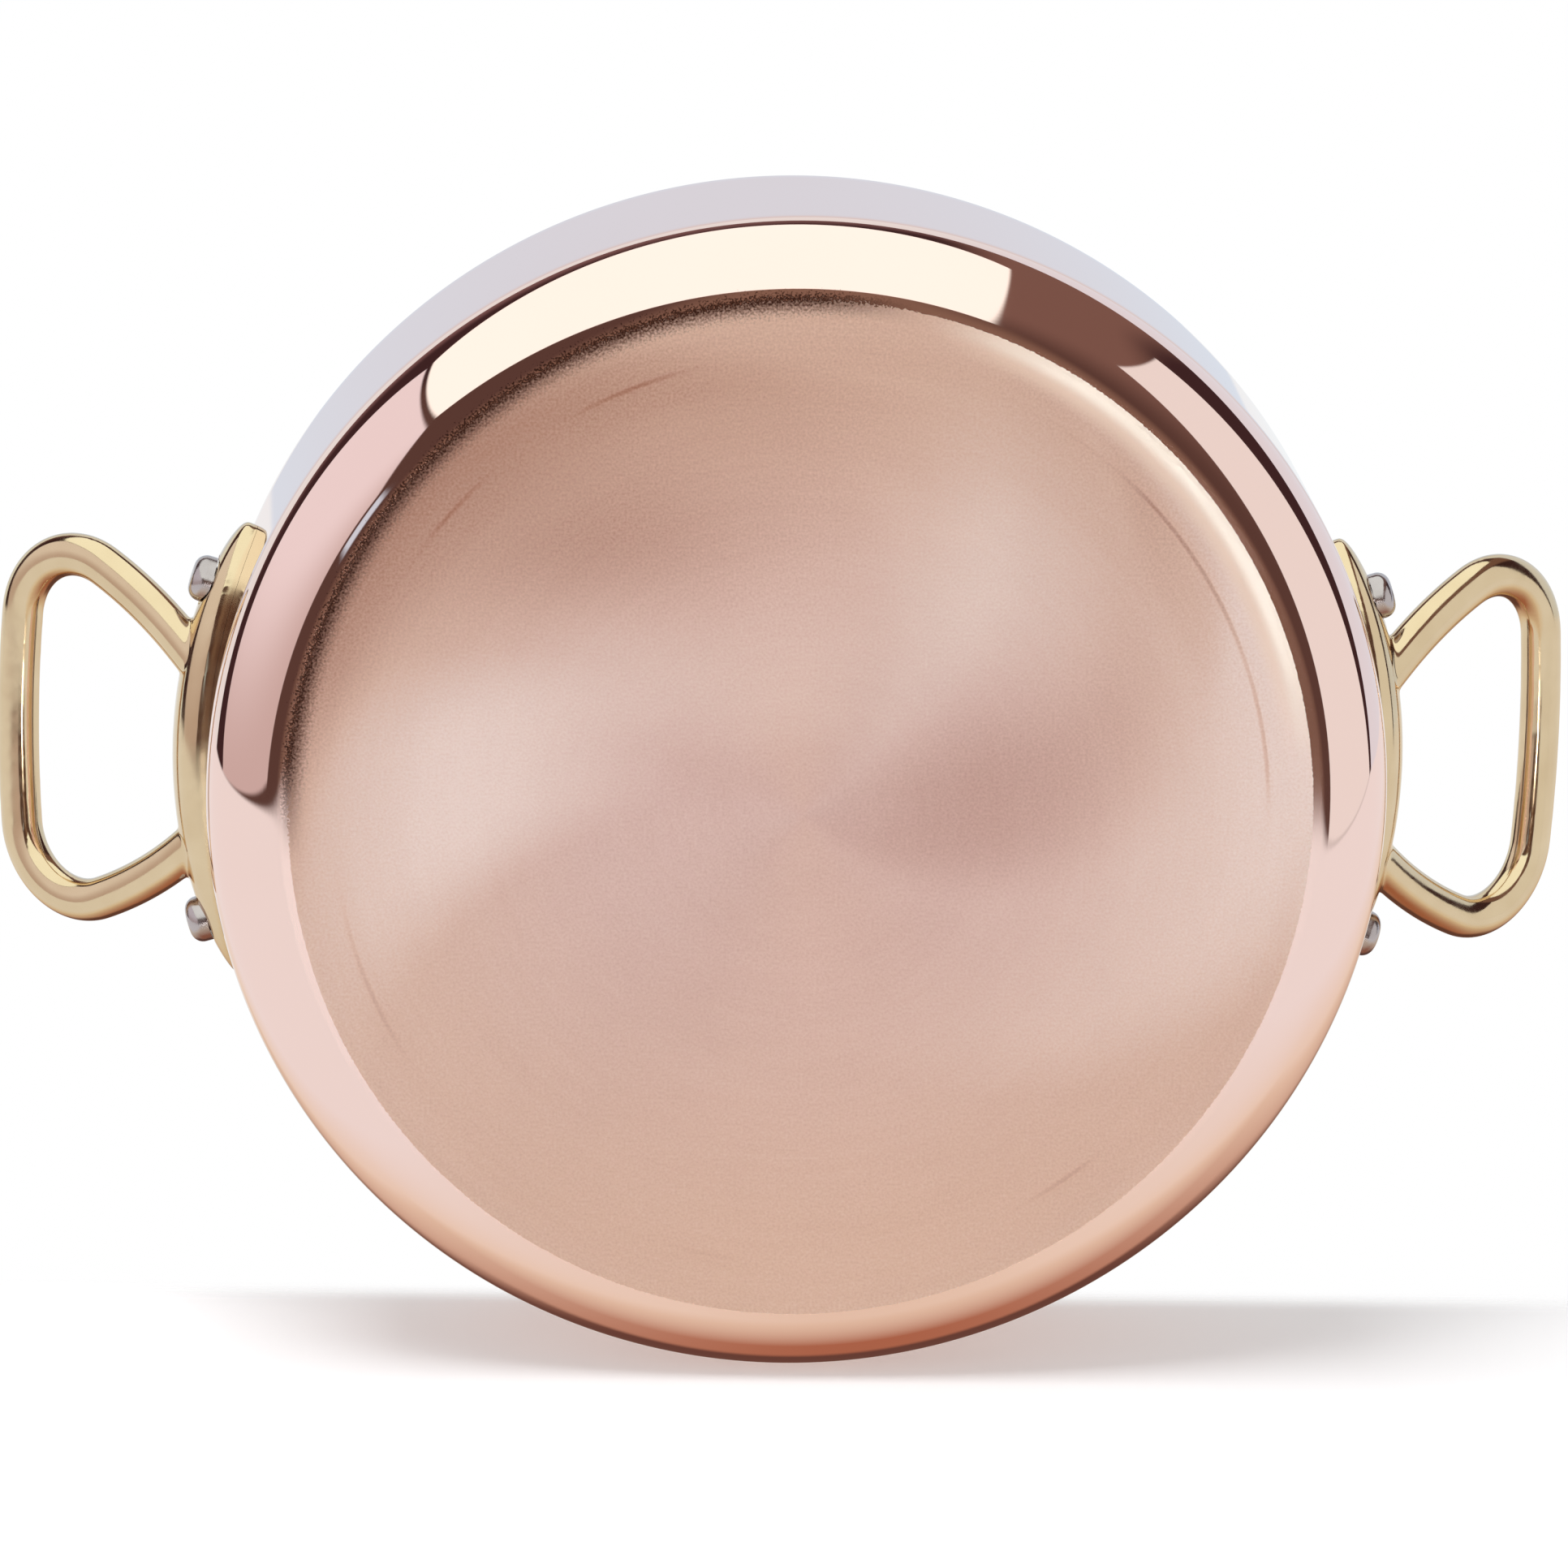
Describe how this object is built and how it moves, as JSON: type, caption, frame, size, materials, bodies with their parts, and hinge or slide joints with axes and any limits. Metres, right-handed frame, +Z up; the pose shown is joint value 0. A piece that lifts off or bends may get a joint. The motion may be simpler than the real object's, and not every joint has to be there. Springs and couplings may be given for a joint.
{
  "type": "two-handled copper pan",
  "caption": "Shallow round copper pan with a steel lining and two riveted brass loop handles.",
  "frame": {"origin": "middle of the base's underside, on the surface that the pan stands on", "axes": "+Z up out of the pan, +X through the middle of the right handle, so +Y runs between the handles"},
  "size_m": [0.274, 0.2, 0.0658],
  "materials": {
    "copper": "polished copper, with a fine brushed grain on the base",
    "steel": "satin stainless steel",
    "brass": "polished cast brass"
  },
  "bodies": {
    "root": {"copper_shell": "copper", "steel_lining": "steel", "left_handle": "brass", "right_handle": "brass", "left_front_rivet": "steel", "left_back_rivet": "steel", "right_front_rivet": "steel", "right_back_rivet": "steel"}
  },
  "joints": []
}
